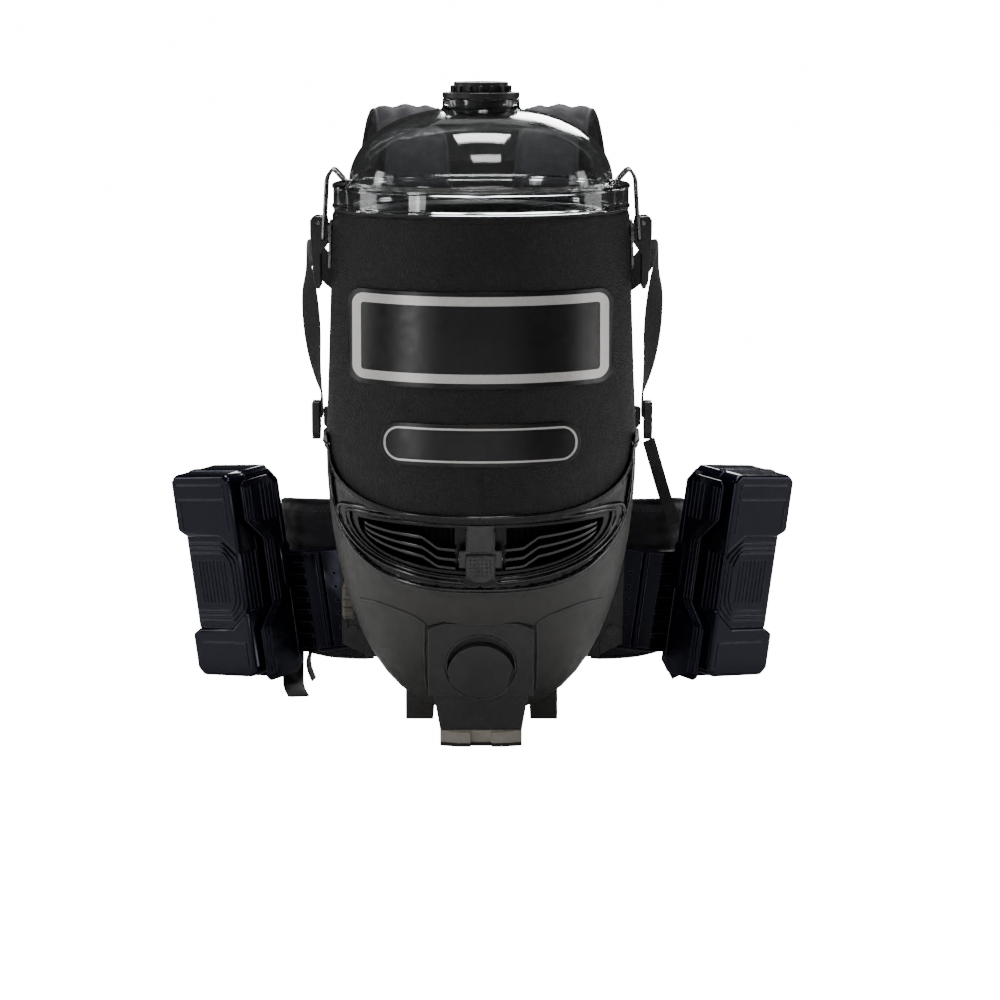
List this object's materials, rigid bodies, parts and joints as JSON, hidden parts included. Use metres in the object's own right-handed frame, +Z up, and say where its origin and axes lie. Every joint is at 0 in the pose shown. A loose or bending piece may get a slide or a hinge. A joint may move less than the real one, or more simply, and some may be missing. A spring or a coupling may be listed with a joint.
{
  "type": "backpack vacuum cleaner",
  "caption": "Backpack vacuum cleaner: clear-lidded canister with a louvred exhaust on a padded harness, with a battery pod at each hip.",
  "frame": {"origin": "on the floor under the middle of the machine's bounding box", "axes": "+Z up, +Y towards the wearer, +X to the right seen from behind the wearer"},
  "size_m": [0.5856, 0.5326, 0.5769],
  "materials": {
    "grained_black": "fine moulded grain",
    "plate_black": "smooth satin",
    "satin_black": "satin",
    "satin_grey": "satin",
    "olive_grey": "satin",
    "gloss_navy": "gloss",
    "rubber_black": "matt",
    "clear_lid": "clear polycarbonate",
    "steel": "plated wire",
    "cast_aluminium": "die cast",
    "navy_fabric": "padded mesh cloth",
    "webbing": "woven webbing",
    "bag_cloth": "filter cloth",
    "filter_paper": "pleated filter paper",
    "foam_grey": "open-cell foam",
    "board_green": "circuit board",
    "switch_red": "gloss"
  },
  "bodies": {
    "main": {"canister_shell": "grained_black", "badge_plate": "plate_black", "oval_plate": "plate_black", "rim_gasket": "rubber_black", "exhaust_collar": "satin_black", "lower_bowl": "satin_grey", "service_panel": "satin_grey", "foot_block": "olive_grey", "foot_sole": "rubber_black", "rear_cradle": "olive_grey", "motor_deck": "satin_black", "pre_motor_filter": "foam_grey", "motor_seal": "rubber_black", "motor": "cast_aluminium", "motor_mount": "rubber_black", "control_board": "board_green", "bag_ring": "satin_black", "filter_bag": "bag_cloth", "latch_brackets": "steel", "back_frame": "satin_black", "back_pad": "navy_fabric", "lumbar_pad": "navy_fabric", "shoulder_pad_left": "navy_fabric", "shoulder_pad_right": "navy_fabric", "shoulder_web_left": "webbing", "shoulder_web_right": "webbing", "web_buckle_left": "satin_black", "web_buckle_right": "satin_black", "sternum_strap": "webbing", "sternum_buckle": "satin_black", "hip_pad_left": "navy_fabric", "hip_pad_right": "navy_fabric", "waist_web": "webbing", "waist_buckle": "satin_black", "strap_tails": "webbing", "hip_bracket_left": "gloss_navy", "hip_bracket_right": "gloss_navy", "dock_left": "gloss_navy", "dock_right": "gloss_navy", "frame_screws": "steel"},
    "lid": {"lid_dome": "clear_lid"},
    "cuff": {"hose_cuff": "satin_black"},
    "lever_left_body": {"lever_left": "satin_black"},
    "lever_right_body": {"lever_right": "satin_black"},
    "bail_left_body": {"bail_left": "steel"},
    "bail_right_body": {"bail_right": "steel"},
    "exhaust_door": {"door_frame": "satin_black", "louvre_blades": "satin_black", "exhaust_filter": "filter_paper", "door_latch_pin": "steel"},
    "thumb_latch": {"door_latch": "satin_black"},
    "cap": {"swivel_cap": "satin_black"},
    "knob": {"lock_knob": "olive_grey"},
    "fan": {"impeller": "cast_aluminium"},
    "pack_left": {"battery_left": "gloss_navy"},
    "pack_right": {"battery_right": "gloss_navy"},
    "release_left_body": {"release_left": "satin_black"},
    "release_right_body": {"release_right": "satin_black"},
    "switch": {"power_button": "switch_red"}
  },
  "joints": [
    {"name": "lid_lift", "type": "slide", "parent": "main", "child": "lid", "axis": [0, 0, 1], "range_m": [0, 0.03]},
    {"name": "cuff_swivel", "type": "hinge", "parent": "lid", "child": "cuff", "pos_m": [0, -0.1267, 0.5545], "axis": [0, 0, 1], "continuous": true},
    {"name": "lever_left_turn", "type": "hinge", "parent": "main", "child": "lever_left_body", "pos_m": [-0.143, -0.1267, 0.454], "axis": [0, 1, 0], "range_deg": [0, 150]},
    {"name": "lever_right_turn", "type": "hinge", "parent": "main", "child": "lever_right_body", "pos_m": [0.143, -0.1267, 0.454], "axis": [0, -1, 0], "range_deg": [0, 150]},
    {"name": "bail_left_turn", "type": "hinge", "parent": "lever_left_body", "child": "bail_left_body", "pos_m": [-0.139, -0.1267, 0.44], "axis": [0, -1, 0], "range_deg": [0, 300]},
    {"name": "bail_right_turn", "type": "hinge", "parent": "lever_right_body", "child": "bail_right_body", "pos_m": [0.139, -0.1267, 0.44], "axis": [0, 1, 0], "range_deg": [0, 300]},
    {"name": "exhaust_door_pull", "type": "slide", "parent": "main", "child": "exhaust_door", "axis": [0, -1, 0], "range_m": [0, 0.07]},
    {"name": "thumb_latch_press", "type": "hinge", "parent": "exhaust_door", "child": "thumb_latch", "pos_m": [0, -0.2575, 0.1745], "axis": [1, 0, 0], "range_deg": [0, 7], "stiffness_Nm_per_rad": 0.3, "springref_deg": -5.73},
    {"name": "cap_turn", "type": "hinge", "parent": "main", "child": "cap", "pos_m": [0, -0.2297, 0.0747], "axis": [0, -0.9613, -0.2756], "range_deg": [-90, 90]},
    {"name": "knob_turn", "type": "hinge", "parent": "main", "child": "knob", "pos_m": [-0.115, -0.0647, 0.103], "axis": [-1, 0, 0], "range_deg": [-180, 180]},
    {"name": "fan_spin", "type": "hinge", "parent": "main", "child": "fan", "pos_m": [0, -0.1267, 0.1685], "axis": [0, 0, 1], "continuous": true},
    {"name": "pack_left_slide", "type": "slide", "parent": "main", "child": "pack_left", "axis": [-0.6373, -0.766, -0.0839], "range_m": [0, 0.07]},
    {"name": "pack_right_slide", "type": "slide", "parent": "main", "child": "pack_right", "axis": [0.6373, -0.766, -0.0839], "range_m": [0, 0.07]},
    {"name": "release_left_press", "type": "slide", "parent": "main", "child": "release_left_body", "axis": [-0.7595, 0.6428, -0.1], "range_m": [0, 0.0025], "stiffness_N_per_m": 400, "springref_m": -0.001},
    {"name": "release_right_press", "type": "slide", "parent": "main", "child": "release_right_body", "axis": [0.7595, 0.6428, -0.1], "range_m": [0, 0.0025], "stiffness_N_per_m": 400, "springref_m": -0.001},
    {"name": "power_press", "type": "slide", "parent": "main", "child": "switch", "axis": [0.7595, -0.6428, 0.1], "range_m": [0, 0.0025], "stiffness_N_per_m": 500, "springref_m": -0.001}
  ],
  "couplings": [
    {"joint": "lever_left_turn", "follows": "lid_lift", "rad_per_m": 87.266},
    {"joint": "lever_right_turn", "follows": "lid_lift", "rad_per_m": 87.266},
    {"joint": "bail_left_turn", "follows": "lid_lift", "rad_per_m": 174.53},
    {"joint": "bail_right_turn", "follows": "lid_lift", "rad_per_m": 174.53}
  ]
}
